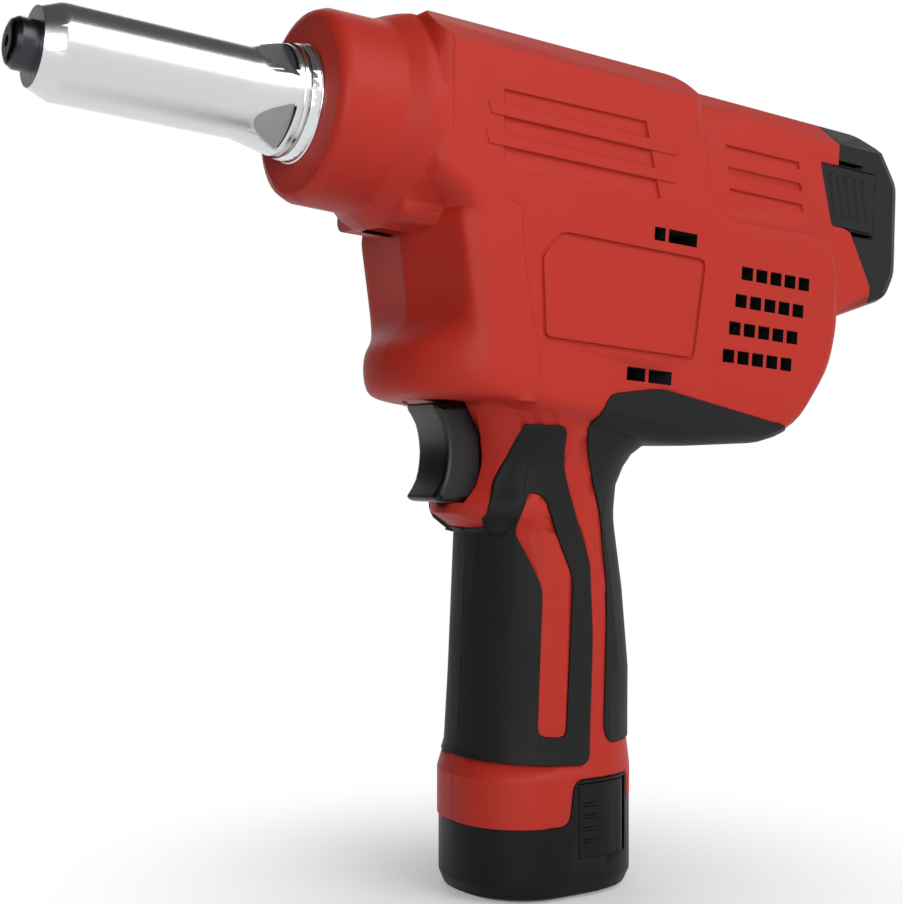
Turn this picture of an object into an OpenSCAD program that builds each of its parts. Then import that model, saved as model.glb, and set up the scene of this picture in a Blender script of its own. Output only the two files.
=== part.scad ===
// Battery rivet tool, in millimetres.
// The origin is the middle of the battery's flat foot, +Z is up and the nose points along -X.
// The upper body is drawn in the barrel's own frame: x runs along the barrel axis from above the
// handle, negative to the nose, and z is the height above that axis.

/* [Layout] */
// Height of the barrel axis above the foot, over the handle
axis_height = 222.3; // [220:0.1:228]
// Upward tilt of the barrel, in degrees
barrel_tilt = 4.5; // [3.5:0.1:5.5]

/* [Body] */
// Half of the main body's width
body_half = 32.5; // [32:0.1:35]
// Top of the body above the barrel axis
body_top = 28; // [27.5:0.1:30]
// Underside of the body below the barrel axis
body_drop = 86; // [85:0.1:89]
// Reach of the body's full section ahead of the handle
body_front = 54; // [53:0.1:57]
// Reach of the main block behind the handle
body_rear = 101; // [100:0.1:106]
// Step of the narrower rear section's sides below the body's
rear_step = 3.5; // [2.5:0.1:4.5]
// Height of the rear section's top above the axis
rear_top = 26; // [25:0.1:27]
// Radius of the rear section's long edges
body_round = 3.5; // [2:0.1:4]
// Width of the soft bevel round the body's sides
bevel_width = 5.5; // [4:0.1:6]
// Depth of the soft bevel round the body's sides
bevel_depth = 7; // [5:0.1:8]
// Width of the chamfer along the top edges
top_chamfer_width = 11.5; // [9:0.1:13]
// Height of the chamfer along the top edges
top_chamfer_height = 9; // [7:0.1:10]
// Radius of the round drum at the front
drum_radius = 27.5; // [27:0.1:29]
// Reach of the drum's front face
drum_front = 80.5; // [80:0.1:86]
// Radius of the step ring between drum and body
collar_radius = 32; // [31:0.1:33]
// Half of the neck's width, below the drum
neck_half = 24; // [22:0.1:25]
// Rise of the neck's ridge along the parting line
neck_rise = 3.7; // [2:0.1:4.5]
// Least wall of the housing
wall = 2.6; // [2.2:0.1:3]
// Play of the parting line between the two halves
seam = 0.2; // [0.1:0.02:0.3]

/* [Vents and grooves] */
// Width of one vent opening
vent_width = 4.6; // [3.5:0.1:5]
// Height of one vent opening
vent_height = 4; // [3:0.1:4.6]
// Distance between vent openings in a row
vent_pitch = 6; // [5.6:0.1:6.4]
// Distance between the rows of vents
vent_row_pitch = 8.7; // [8:0.1:9]
// Depth of the decorative grooves
groove_depth = 0.8; // [0.4:0.1:1.2]
// Distance between the decorative grooves
groove_pitch = 4.4; // [4:0.1:5]

/* [Handle] */
// Front to back of the grip
handle_depth = 55; // [54:0.1:58]
// Side to side of the grip
handle_width = 46; // [45:0.1:50]
// Height of the red foot above the battery base
foot_height = 21; // [18:0.1:24]
// Depth of the soft grip panels
grip_depth = 1.6; // [1.2:0.1:2]
// Stand of the soft grip panels above the hard shell
grip_stand = 0.4; // [0.2:0.1:0.7]

/* [Barrel] */
// Diameter of the barrel sleeve
sleeve_diameter = 26; // [25:0.1:28]
// Length of the sleeve ahead of the drum
sleeve_length = 75.5; // [74:0.1:84]
// Diameter of the sleeve's front face
sleeve_tip_diameter = 21; // [19:0.1:23]
// Length of the sleeve's front cone
sleeve_cone = 6; // [4:0.1:8]
// Diameter of the sleeve's spanner flare
flare_diameter = 31; // [29:0.1:32]
// Length of the spanner flare
flare_length = 13; // [11:0.1:15]
// Diameter of the lock ring at the drum
ring_diameter = 33.5; // [33:0.1:36]
// Thickness of the lock ring
ring_thickness = 5.5; // [4.5:0.1:7]
// Diameter of the nosepiece
nose_diameter = 13.6; // [13:0.1:15]
// Stand of the nosepiece ahead of the sleeve
nose_stand = 6.5; // [5:0.1:8]
// Bore of the nosepiece, for the rivet's mandrel
nose_bore = 3.2; // [2:0.1:3.4]

/* [Puller] */
// Stroke of the puller
stroke = 20; // [16:0.5:22]
// Diameter of the ball screw
screw_diameter = 14; // [13:0.1:15]
// Bore through the ball screw
screw_bore = 7.2; // [7:0.1:7.6]
// Diameter of the jaw case
jaw_case_diameter = 19; // [18:0.1:19.2]
// Length of the jaw case
jaw_case_length = 42; // [40:0.1:44]

/* [Drive] */
// Tooth module of the nut gear and its pinion
gear_module = 1; // [0.98:0.01:1.02]
// Width of the nut gear and pinion
gear_width = 9; // [8:0.1:10]
// Tooth module of the planetary stage
planet_module = 0.6; // [0.58:0.01:0.62]
// Diameter of the motor can
motor_diameter = 36; // [35:0.1:37]
// Length of the motor can
motor_length = 46; // [43:0.1:48]
// Diameter of the motor shaft
shaft_diameter = 3.2; // [3:0.1:3.6]

/* [Trigger] */
// Height of the trigger
trigger_height = 29; // [27:0.1:30]
// Half of the trigger's width
trigger_half = 9; // [8:0.1:10]
// Travel of the trigger
trigger_travel = 6; // [5:0.1:6.5]

/* [Battery] */
// Height of the battery base
base_height = 22; // [21:0.1:24]
// Front to back of the battery base
base_depth = 59; // [58:0.1:60]
// Side to side of the battery base
base_width = 49; // [48.6:0.1:50]
// Front to back of the battery stem
stem_depth = 41; // [40:0.1:41.6]
// Side to side of the battery stem
stem_width = 36.6; // [36:0.1:36.8]
// Diameter of one cell
cell_diameter = 16; // [15:0.1:16.2]
// Length of one cell
cell_length = 65; // [62:0.1:66]
// Travel of the battery's side latches
battery_latch_travel = 1.5; // [1:0.1:1.8]

/* [Mandrel collector] */
// Reach of the collector behind the rear face
collector_length = 31; // [30:0.1:36]
// Step of the collector's sides below the housing's
collector_step = 0.6; // [0.3:0.1:1]
// Wall of the collector
collector_wall = 2.2; // [1.8:0.1:2.6]
// Travel of the collector's side latches
collector_latch_travel = 1.5; // [1:0.1:1.8]

/* [Fits] */
// Gap between fixed pieces and their seats
seat_gap = 0.15; // [0.1:0.01:0.2]
// Radial gap of running fits
run_gap = 0.08; // [0.05:0.01:0.1]
// Gap round pieces that slide
slide_gap = 0.35; // [0.3:0.01:0.4]

/* [Hidden] */
$fn = 48;
over = 1;
shell_red = [0.72, 0.17, 0.15];
soft_black = [0.14, 0.14, 0.14];
steel = [0.74, 0.75, 0.77];
dark_steel = [0.3, 0.3, 0.32];

// Teeth of the nut gear, its pinion, the sun gear and each planet
nut_teeth = 44;
pinion_teeth = 28;
sun_teeth = 12;
planet_teeth = 18;

// Places along the barrel
drum_face = -drum_front;
sleeve_tip = drum_face - sleeve_length;
sleeve_radius = sleeve_diameter / 2;
ring_front = drum_face - ring_thickness;
flare_front = ring_front - flare_length;
sleeve_wall = 2.8;
sleeve_bore = sleeve_radius - sleeve_wall;
tail_radius = ring_diameter * 0.3836;
// The ring's outline: steps below its rim, and shares of its thickness
rim_step = ring_diameter * 0.027;
ring_shares = [[1, 0], [1, 0.16], [1.9, 0.2], [1.9, 0.3], [0.6, 0.34], [0.6, 0.84], [0, 0.88], [0, 1]];
tail_length = 10;
tail_end = drum_face + tail_length;
nose_tip = sleeve_tip - nose_stand;
nose_radius = nose_diameter / 2;
nose_thread = nose_radius - seat_gap;
nose_root = sleeve_tip + sleeve_cone + nose_stand;

// Gear case and what turns in it
case_boss_radius = sleeve_radius + wall;
bearing_radius = case_boss_radius + wall / 4;
case_radius = bearing_radius + seat_gap + wall;
bearing_width = 6;
bearing_front = -body_front;
nut_front = bearing_front + bearing_width;
nut_radius = screw_diameter / 2 + 2 * wall;
hub_radius = screw_diameter / 2 + wall * 1.5;
pinion_radius = gear_module * pinion_teeth / 2;
nut_gear_radius = gear_module * nut_teeth / 2;
motor_drop = pinion_radius + nut_gear_radius;
gear_rear = 0;
gear_front = gear_rear - gear_width;
chamber_play = 1.2;
chamber_front = gear_front - chamber_play;
chamber_rear = gear_rear + chamber_play;
cover_thickness = bearing_width;
cover_rear = chamber_rear + cover_thickness;
case_lip = 2;
chamber_radius = nut_gear_radius + gear_module + slide_gap;
pinion_chamber = pinion_radius + gear_module + slide_gap;
case_front_wall = chamber_front - wall;
lobe_radius = chamber_radius + wall / 2;
pinion_lobe = pinion_chamber + wall / 2;
screw_radius = screw_diameter / 2;
screw_rear = cover_rear + screw_diameter;
jaw_case_radius = jaw_case_diameter / 2;
jaw_case_front = nose_root + slide_gap;
jaw_case_rear = jaw_case_front + jaw_case_length;
jaw_thread = screw_radius - wall / 2;
jaw_thread_length = 9;
jaw_bore = jaw_case_radius - wall;
jaw_mouth = jaw_bore * 0.55;
jaw_length = jaw_case_length * 0.34;
jaw_rear = jaw_case_front + jaw_length + jaw_thread_length / 2;
pusher_length = 5;
spring_wire = 1.1;
spring_turns = 5;
spring_front = jaw_rear + pusher_length;
spring_rear = jaw_case_rear - jaw_thread_length;
key_radius = 1.9;
key_place = screw_rear - 2 * key_radius;
guide_bore = screw_radius + slide_gap;
guide_radius = guide_bore + wall;
guide_rear = screw_rear + stroke + wall;
tube_radius = screw_bore / 2 - slide_gap;
tube_wall = 0.7;
tube_front = cover_rear - stroke;

// Planetary stage and motor, on their own axis below the barrel
ring_teeth = sun_teeth + 2 * planet_teeth;
orbit = planet_module * (sun_teeth + planet_teeth) / 2;
ring_pitch = planet_module * ring_teeth / 2;
ring_step = 1;
ring_outer = motor_diameter / 2 - ring_step;
carrier_thickness = 4;
carrier_front = cover_rear + slide_gap;
carrier_rear = carrier_front + carrier_thickness;
planet_front = carrier_rear + slide_gap;
planet_width = 8;
planet_rear = planet_front + planet_width;
motor_front = planet_rear + carrier_thickness;
motor_radius = motor_diameter / 2;
motor_rear = motor_front + motor_length;
can_wall = 1.6;
magnet_thickness = 4;
magnet_bore = motor_radius - can_wall - magnet_thickness;
armature_radius = magnet_bore - 2 * slide_gap;
cap_thickness = 8;
cap_rear = motor_rear + cap_thickness;
fan_width = 7;
fan_front = cap_rear + chamber_play;
fan_rear = fan_front + fan_width;
fan_radius = motor_radius - 2 * wall;
fan_blades = 9;
shaft_radius = shaft_diameter / 2;
out_shaft_radius = 4;
pin_radius = 1.5;
pressure_angle = 20;
backlash_share = 0.06;

// Outlines in the barrel's frame, as shares of the body's reaches, clockwise from the top front.
// A negative share counts in the front reach or the drop, a positive one in the rear reach or top.
rear_half = body_half - rear_step;
block_shares = [[-1, 1], [0.377, 1], [0.487, -0.149], [0.929, -0.131], [1.013, -0.25], [1.021, -0.5],
    [0.995, -0.665], [0.88, -0.87], [0.755, -0.95], [0.38, -1], [-0.36, -0.93], [-0.6, -0.86],
    [-0.65, -0.66], [-0.77, -0.29], [-1, -0.23]];
block_round_shares = [0.2, 0.9, 1.1, 0.9, 0.8, 0.8, 1.6, 1.6, 1, 1, 1.4, 1, 1, 0.9, 0.9];
rear_shares = [[0.97, -0.48], [0.55, -0.3], [0.29, -0.12], [0.29, 1]];
neck_shares = [[-0.77, -0.3], [-0.655, -0.66]];
ledge_shares = [-0.17, -0.305];
ledge_half_share = 0.5;
ledge_round = 4;
brow_shares = [[-0.876, -0.745, 0.33], [-0.835, -0.9, 0.33], [-0.44, -0.55, 0.83], [-0.44, -0.91, 0.83]];
brow_round = 5.5;
corner_setback = 6;
tail_setback = 3;
rear_face = body_rear * 0.99;

// Handle stations: height share, front, rear and half-width shares, from the foot to the body
handle_top = axis_height - body_drop;
handle_base = base_height + seat_gap;
foot_shares = [[0, -0.537, 0.528, 0.529], [0.65, -0.537, 0.528, 0.529], [1.05, -0.495, 0.52, 0.507]];
grip_shares = [[0.24, -0.473, 0.527, 0.5], [0.5, -0.455, 0.487, 0.495], [0.69, -0.442, 0.44, 0.489],
    [0.725, -0.52, 0.432, 0.4905], [0.755, -0.6, 0.43, 0.493], [0.79, -0.6, 0.433, 0.496],
    [0.84, -0.525, 0.44, 0.501], [0.9, -0.487, 0.478, 0.522], [0.94, -0.475, 0.52, 0.545],
    [1, -0.48, 0.65, 0.6], [1.08, -0.545, 0.84, 0.652], [1.16, -0.62, 0.95, 0.68]];
handle_corner_share = 0.47;
grip_span = handle_top - handle_base - foot_height;
stations = [for (p = foot_shares) [handle_base + p[0] * foot_height, p[1], p[2], p[3]],
    for (p = grip_shares) [handle_base + foot_height + p[0] * grip_span, p[1], p[2], p[3]]];

// Soft grip outlines seen from the side: shares of the handle's depth, and of the grip's span
front_grip_shares = [[-0.33, 1.03], [-0.15, 1.03], [-0.115, 0.9], [0.075, 0.6], [0.09, 0.36],
    [0.06, -0.02], [0.02, -0.04], [-0.9, 0], [-0.9, 0.705], [-0.46, 0.705], [-0.41, 0.735],
    [-0.38, 0.82]];
stripe_shares = [[-0.31, 0.83], [-0.22, 0.81], [-0.035, 0.55], [-0.09, 0.05], [-0.255, 0.06],
    [-0.215, 0.52], [-0.365, 0.74]];
rear_grip_shares = [[-0.02, 1.02], [0.08, 1.13], [0.42, 1.15], [1.38, 1.03], [1.52, 0.93],
    [1.1, 0.7], [0.9, 0.2], [0.9, 0.02], [0.2, 0.02], [0.165, 0.06], [0.2, 0.52], [0.165, 0.74]];
grip_setback = 2.5;

// Trigger and switch
trigger_top = handle_top + trigger_height * 0.33;
trigger_bottom = trigger_top - trigger_height;
trigger_reach = handle_depth * 0.765;
trigger_back_share = 0.575;
trigger_back = trigger_reach * trigger_back_share;
trigger_shares = [[-1, 1], [-trigger_back_share, 1], [-trigger_back_share, 0], [-0.93, 0], [-0.98, 0.04],
    [-0.89, 0.22], [-0.86, 0.5], [-0.89, 0.79]];
trigger_round = 3;
trigger_edge = 2;
stem_rod = 3;
switch_front = -trigger_back + trigger_travel + slide_gap;
switch_length = 27;
switch_bore_length = switch_length * 0.6;
switch_half = 10;

// Battery
base_round = 5;
stem_cap = 8.65;
stem_corner = stem_width * 0.4;
base_corner = base_width * 0.47;
cell_wall = 1.2;
cell_spread = cell_diameter + cell_wall;
stem_top = base_height + cell_wall + cell_length + seat_gap + stem_cap;
latch_front = -base_depth * 0.015;
latch_rear = base_depth * 0.3;
latch_bottom = base_height * 0.55;
latch_top = base_height + foot_height * 0.56;
latch_thickness = 2.6;
latch_ridges = 4;
ridge_depth = 0.7;
// The base's shoulder round the latch: shares of the base's depth, and of the foot's height above it
shoulder_shares = [[-0.21, 0], [-0.071, 0], [-0.041, 0.62], [0.319, 0.62], [0.329, 0.24], [0.7, 0.24],
    [0.7, -0.1], [-0.21, -0.1]];
shoulder_setbacks = [0.4, 6, 3, 1.5, 1.5, 0.4, 0.4, 0.4];
shoulder_thickness = 3.2;
contact_height = 6;
contact_thickness = 1.2;

// Mandrel collector
// The rear section and the collector share one outline, split along a border. These shares are of
// the collector's length, and of the rear section's top or the body's drop.
collector_shares = [[0.56, 0.96], [0.96, 0.34], [1, -0.25], [0.87, -0.35], [0.5, -0.4]];
border_shares = [[-3, 2], [0, 2], [0, -0.1], [0.225, -0.125], [0.555, -0.315], [0.555, -1], [-3, -1]];
bin_shares = [[-0.2, 0.86], [0.58, 0.86], [0.87, 0.38], [0.91, -0.22], [0.81, -0.29], [0.66, -0.27],
    [0.33, -0.09], [-0.2, -0.075]];
ridge_shares = [0.12, 0.26, 0.4, 0.54];
ridge_sink = 0.5;
tab_shares = [[-0.25, 0.385], [0.565, 0.385], [0.565, -0.11], [-0.045, -0.11]];
tab_slit = 1.4;
tab_corner = 0.8;
tab_thickness = 3;
tab_lean = -15;
collector_half = rear_half - collector_step;
pocket_half = collector_half - tab_thickness - collector_latch_travel - slide_gap;
bin_half = pocket_half - collector_wall;
tab_grooves = 5;
tab_groove_radius = 1.6;

// Where the housing screws cross the tool: shares of the body's reaches
screw_shares = [[-1.32, 0.76], [-1.32, -0.25], [0.28, 0.62], [0.62, 0.55], [0.62, -0.135],
    [0.93, -0.6], [-0.6, -0.7]];
screw_head_radius = 2.8;
screw_shank_radius = 1.5;
screw_head_height = 2.4;
screw_seat = 9;
screw_reach = 10;

// A point of an outline from its shares of the body's reaches
function body_point(p) = [p[0] * (p[0] < 0 ? body_front : body_rear),
    p[1] * (p[1] < 0 ? body_drop : body_top)];
function rear_point(p) = [p[0] * body_rear, p[1] * (p[1] < 0 ? body_drop : rear_top)];
function grip_point(p) = [p[0] * handle_depth, handle_base + foot_height + p[1] * grip_span];
function unit(v) = v / norm(v);
function before(p, i) = p[(i + len(p) - 1) % len(p)];
function after(p, i) = p[(i + 1) % len(p)];

// An outline with its corners drawn as curves that start a setback away from each corner
function eased(p, setbacks, steps = 2) = [for (i = [0:len(p) - 1])
    let (b = p[i], a = before(p, i), c = after(p, i),
        reach = min(setbacks[i], norm(a - b) * 0.45, norm(c - b) * 0.45),
        u = b + unit(a - b) * reach, v = b + unit(c - b) * reach)
    each [for (k = [0:steps]) let (t = k / steps) (1 - t) * (1 - t) * u + 2 * t * (1 - t) * b + t * t * v]];
function even(p, setback) = [for (q = p) setback];
function outward(a, b) = let (d = unit(b - a)) [-d[1], d[0]];
function inset(p, d) = [for (i = [0:len(p) - 1])
    let (n = outward(before(p, i), p[i]), m = outward(p[i], after(p, i))) p[i] - d * (n + m) / (1 + n * m)];

// A plate of the given outline in the xz plane, both its long edges rounded
module plate(outline, half, edge, depth, steps = 2) {
    sweep = [for (k = [0:steps]) 90 * k / steps];
    rows = [for (a = sweep) [-half + depth * (1 - cos(a)), edge * (1 - sin(a))],
        for (a = sweep) [half - depth * (1 - sin(a)), edge * (1 - cos(a))]];
    rings = [for (r = rows) [for (q = inset(outline, r[1])) [q[0], r[0], q[1]]]];
    n = len(outline);
    last = len(rings) - 1;
    sides = [for (k = [0:last - 1]) for (i = [0:n - 1]) let (j = (i + 1) % n)
        each [[k * n + i, (k + 1) * n + j, k * n + j], [k * n + i, (k + 1) * n + i, (k + 1) * n + j]]];
    polyhedron([for (r = rings) each r],
        concat([[for (i = [0:n - 1]) i]], sides, [[for (i = [n - 1:-1:0]) last * n + i]]));
}

// Frames: the barrel's axis, and the motor's axis below it
module on_axis() translate([0, 0, axis_height]) rotate([0, barrel_tilt, 0]) children();
module on_motor() on_axis() translate([0, 0, -motor_drop]) children();

// Round pieces along x, from one place to another
module rod(start, end, radius) translate([start, 0, 0]) rotate([0, 90, 0])
    cylinder(r = radius, h = end - start);
module tube(start, end, radius, bore) difference() {
    rod(start, end, radius);
    rod(start - over, end + over, bore);
}
module turned(points) rotate([0, 90, 0]) rotate_extrude() polygon(points);
module prism(points, low, high) translate([0, high, 0]) rotate([90, 0, 0])
    linear_extrude(high - low) polygon(points);
module block(low, high) translate(low) cube(high - low);
module twin() {
    children();
    mirror([0, 1, 0]) children();
}

// Gear outlines with involute flanks
function flank(base, r) = let (t = sqrt(max(0, (r / base) * (r / base) - 1))) t * 180 / PI - atan(t);
function gear_points(teeth, size, add, ded, grow) =
    let (pitch = size * teeth / 2, base = pitch * cos(pressure_angle), tip = pitch + add, root = pitch - ded,
        low = max(base, root), half = 90 / teeth * (1 + grow) + flank(base, pitch),
        radii = [root, low + (tip - low) * 0.15, (low + tip) / 2, tip])
    [for (i = [0:teeth - 1]) let (mid = 360 * i / teeth)
        each concat([for (r = radii) let (a = mid - half + flank(base, r)) r * [cos(a), sin(a)]],
            [for (k = [len(radii) - 1:-1:0]) let (r = radii[k], a = mid + half - flank(base, r))
                r * [cos(a), sin(a)]])];
module gear(teeth, size, start, end, bore) translate([start, 0, 0]) rotate([0, 90, 0]) difference() {
    linear_extrude(end - start) polygon(gear_points(teeth, size, size, size * 1.2, -backlash_share));
    translate([0, 0, -over]) cylinder(r = bore, h = end - start + 2 * over);
}

// The handle as a chain of rounded sections, grown by an allowance all round
module handle_form(grow = 0) {
    corner = handle_width * handle_corner_share + grow;
    for (i = [0:len(stations) - 2]) hull() for (p = [stations[i], stations[i + 1]])
        for (x = [p[1] * handle_depth - grow + corner, p[2] * handle_depth + grow - corner])
            for (y = [-1, 1]) translate([x, y * (p[3] * handle_width + grow - corner), p[0]])
                cylinder(r = corner, h = seat_gap, $fn = 32);
}
module block_form(grow = 0) on_axis()
    plate(inset(block_outline(), -grow), body_half + grow, bevel_width, bevel_depth, 3);
function block_outline() =
    eased([for (p = block_shares) body_point(p)], corner_setback * block_round_shares, 3);

// The housing's outer form, before it is hollowed and split
module outer_form() {
    difference() {
        block_form();
        top_chamfer(body_top, body_half);
    }
    difference() {
        on_axis() intersection() {
            plate(tail_outline(), rear_half, body_round, body_round);
            border(0);
        }
        top_chamfer(rear_top, rear_half);
    }
    difference() {
        on_axis() turned([[0, drum_face], [drum_radius - body_round, drum_face],
            [drum_radius - body_round / 3, drum_face + body_round / 4], [drum_radius, drum_face + body_round],
            [drum_radius * 1.01, -body_front * 1.15], [drum_radius * 1.04, -body_front * 1.12],
            [collar_radius * 0.97, -body_front * 1.06], [collar_radius, -body_front * 1.02],
            [collar_radius, -body_front * 0.8], [0, -body_front * 0.8]]);
        top_chamfer(body_top, body_half);
        on_axis() block([-body_front * 1.13, -collar_radius, body_top],
            [0, collar_radius, body_top + collar_radius]);
    }
    neck();
    handle_form();
    side_bars();
}

// The front below the drum: a ledge, a ridged neck, and the brow over the trigger
module neck() on_axis() {
    hull() for (y = [-1, 1]) for (z = ledge_shares)
        translate([0, y * collar_radius * ledge_half_share, z * body_drop])
            rod(-body_front * 1.03, -body_front * 0.7, ledge_round, $fn = 24);
    hull() for (p = neck_shares) translate([p[0] * body_front, 0, p[1] * body_drop])
        linear_extrude(seat_gap) polygon([[-neck_rise, -seat_gap], [-neck_rise, seat_gap], [0, neck_half],
            [body_front * 0.3, neck_half], [body_front * 0.3, -neck_half], [0, -neck_half]]);
    hull() for (p = brow_shares) for (y = [-1, 1])
        translate([p[0] * body_front + brow_round, y * p[2] * body_half, p[1] * body_drop])
            cylinder(r = brow_round, h = seat_gap, $fn = 32);
}

// Sloped cuts along both top edges of a section with the given top and half-width
module top_chamfer(top, half) on_axis() twin() translate([-body_front * 1.13, 0, 0]) rotate([90, 0, 90])
    linear_extrude(body_front + 2 * body_rear) polygon([[half - top_chamfer_width, top],
        [half, top - top_chamfer_height], [half + wall, top - top_chamfer_height], [half + wall, top + wall],
        [half - top_chamfer_width, top + wall]]);

// Everything that the housing leaves room for
module hollows() {
    on_axis() {
        rod(drum_face - over, bearing_front, case_boss_radius + seat_gap);
        rod(bearing_front - seat_gap - wall, case_front_wall + over, case_radius + seat_gap);
        case_lobes(case_front_wall - seat_gap, cover_rear + case_lip + seat_gap, seat_gap);
        rod(0, guide_rear + seat_gap, guide_radius + seat_gap);
        rod(guide_rear, rear_face + collector_length, tube_radius + seat_gap);
    }
    on_motor() {
        rod(cover_rear, motor_front, ring_outer + seat_gap);
        rod(motor_front, cap_rear, motor_radius + seat_gap);
        block([motor_front + motor_length / 2, -rear_half + 2 * wall, -motor_radius - 2 * wall],
            [fan_rear + wall, rear_half - 2 * wall, motor_radius * 0.75]);
    }
    board_slot();
    block([switch_front - seat_gap, -switch_half - seat_gap, switch_bottom() - seat_gap],
        [switch_front + switch_length + seat_gap, switch_half + seat_gap, trigger_top + seat_gap]);
    block([-handle_depth, -trigger_half - slide_gap, trigger_bottom - seat_gap],
        [switch_front, trigger_half + slide_gap, trigger_top + slide_gap]);
    stem_form(slide_gap, handle_base - over, stem_top + contact_height + slide_gap);
    terminal_space();
    twin() latch_room();
    shoulder(slide_gap, over);
}
function switch_bottom() = trigger_bottom + trigger_height * 0.06;

// Vents, grooves and panel lines on each side of the housing
module side_cuts() {
    on_axis() {
        for (row = [0:3]) for (k = [0:4])
            vent_slot([vent_start() + k * vent_pitch - row * vent_row_pitch * 0.22,
                -motor_drop + vent_row_pitch * 0.55 - row * vent_row_pitch], vent_width, body_half * 0.55);
        for (p = slot_shares) for (k = [0, 1])
            vent_slot([body_rear * p[0] + k * (vent_width * p[2] + wall / 2), body_drop * p[1]],
                vent_width * p[2 + k], body_half * 0.55);
        difference() {
            prism([for (p = recess_shares) body_point(p)], -body_half - over, -body_half + groove_depth);
            side_bars_flat();
        }
        for (k = [0:2]) translate([body_rear * 0.515 + k * groove_pitch * 0.3, 0,
            rear_top * 0.27 - k * groove_pitch * 1.5])
            prism([for (p = bar_shares) [p[0] * body_rear * 0.3, p[1] * groove_pitch]],
                -rear_half - over, -rear_half + groove_depth);
        panel_line();
    }
}
function vent_start() = motor_front + motor_length * 0.74;
module vent_slot(place, width, depth) translate([place[0], -body_half - over, place[1] - vent_height / 2])
    cube([width, depth + over, vent_height]);
// Shares of the body's reaches: slots with the widths of their two openings, the sunk field with
// the two bars across it, and the raised panel
slot_shares = [[0.226, -0.281, 0.9, 2.4], [0.155, -0.775, 1.5, 1.9]];
recess_shares = [[-0.62, 0.27], [0.17, 0.29], [0.24, -0.16], [-0.59, -0.16]];
bar_shares = [[-0.02, 0.25], [1, 0.25], [1.03, -0.25], [0, -0.25]];
bar_rise = 0.3;
module side_bars_flat() for (k = [0, 1])
    translate([-body_front * 0.69, 0, body_top * 0.06 - k * groove_pitch * 1.9])
        prism([for (p = bar_shares) [p[0] * body_front * 1.2, p[1] * groove_pitch * 1.5]],
            -body_half - bar_rise, -body_half + 2 * over);
module side_bars() on_axis() twin() side_bars_flat();
panel_shares = [[-0.2, -0.335], [0.43, -0.34], [0.403, -0.705], [-0.275, -0.704], [-0.33, -0.416]];
module panel_line() {
    outline = eased([for (p = panel_shares) body_point(p)], even(panel_shares, grip_setback));
    difference() {
        prism(outline, -body_half - over, -body_half + groove_depth);
        prism(inset(outline, groove_depth * 1.5), -body_half - 2 * over, -body_half + 2 * groove_depth);
    }
}

// Soft grips: their side outlines, and the skin that they take from the housing
module front_outline(gap) difference() {
    prism(inset(eased([for (p = front_grip_shares) grip_point(p)], even(front_grip_shares, grip_setback)),
        -gap), -body_half * 2, -seam);
    prism(inset(eased([for (p = stripe_shares) grip_point(p)], even(stripe_shares, grip_setback)), gap),
        -body_half * 3, over);
}
module rear_outline(gap) prism(inset(eased([for (p = rear_grip_shares) grip_point(p)],
    even(rear_grip_shares, grip_setback)), -gap), -body_half * 2, -seam);
module skin(grow) {
    handle_form(grow);
    block_form(grow);
}

// One housing half, the left one as seen from behind the nose
module housing_half() difference() {
    intersection() {
        outer_form();
        block([-body_rear * 3, -body_half * 3, 0], [body_rear * 3, -seam / 2, axis_height * 2]);
    }
    hollows();
    side_cuts();
    difference() {
        union() {
            front_outline(seat_gap);
            rear_outline(seat_gap);
        }
        skin(-grip_depth - seat_gap);
    }
    tab_room();
}
module screw_places() for (p = screw_shares) on_axis()
    translate([body_point(p)[0], 0, body_point(p)[1]]) rotate([90, 0, 0]) children();

module left_housing() color(shell_red) difference() {
    housing_half();
    screw_places() cylinder(r = screw_shank_radius + seat_gap, h = screw_reach + seat_gap, $fn = 24);
}
module right_housing() color(shell_red) difference() {
    mirror([0, 1, 0]) housing_half();
    screw_places() translate([0, 0, -screw_seat - over])
        cylinder(r = screw_shank_radius + seat_gap, h = screw_seat + 2 * over, $fn = 24);
    screw_places() translate([0, 0, -body_half * 2])
        cylinder(r = screw_head_radius + seat_gap, h = body_half * 2 - screw_seat, $fn = 24);
}
module housing_screws() color(dark_steel) screw_places() {
    translate([0, 0, -screw_seat]) cylinder(r = screw_shank_radius, h = screw_seat + screw_reach);
    translate([0, 0, -screw_seat - screw_head_height]) difference() {
        cylinder(r = screw_head_radius, h = screw_head_height);
        for (a = [0, 90]) rotate(a) translate([-screw_head_radius * 0.6, -screw_shank_radius / 4, -over])
            cube([screw_head_radius * 1.2, screw_shank_radius / 2, over + screw_head_height / 2]);
    }
}

module front_grip() difference() {
    intersection() {
        skin(grip_stand);
        front_outline(0);
    }
    skin(-grip_depth);
}
module rear_grip() difference() {
    intersection() {
        skin(grip_stand);
        rear_outline(0);
    }
    skin(-grip_depth);
}
module left_front_grip() color(soft_black) front_grip();
module right_front_grip() color(soft_black) mirror([0, 1, 0]) front_grip();
module left_rear_grip() color(soft_black) rear_grip();
module right_rear_grip() color(soft_black) mirror([0, 1, 0]) rear_grip();

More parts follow.
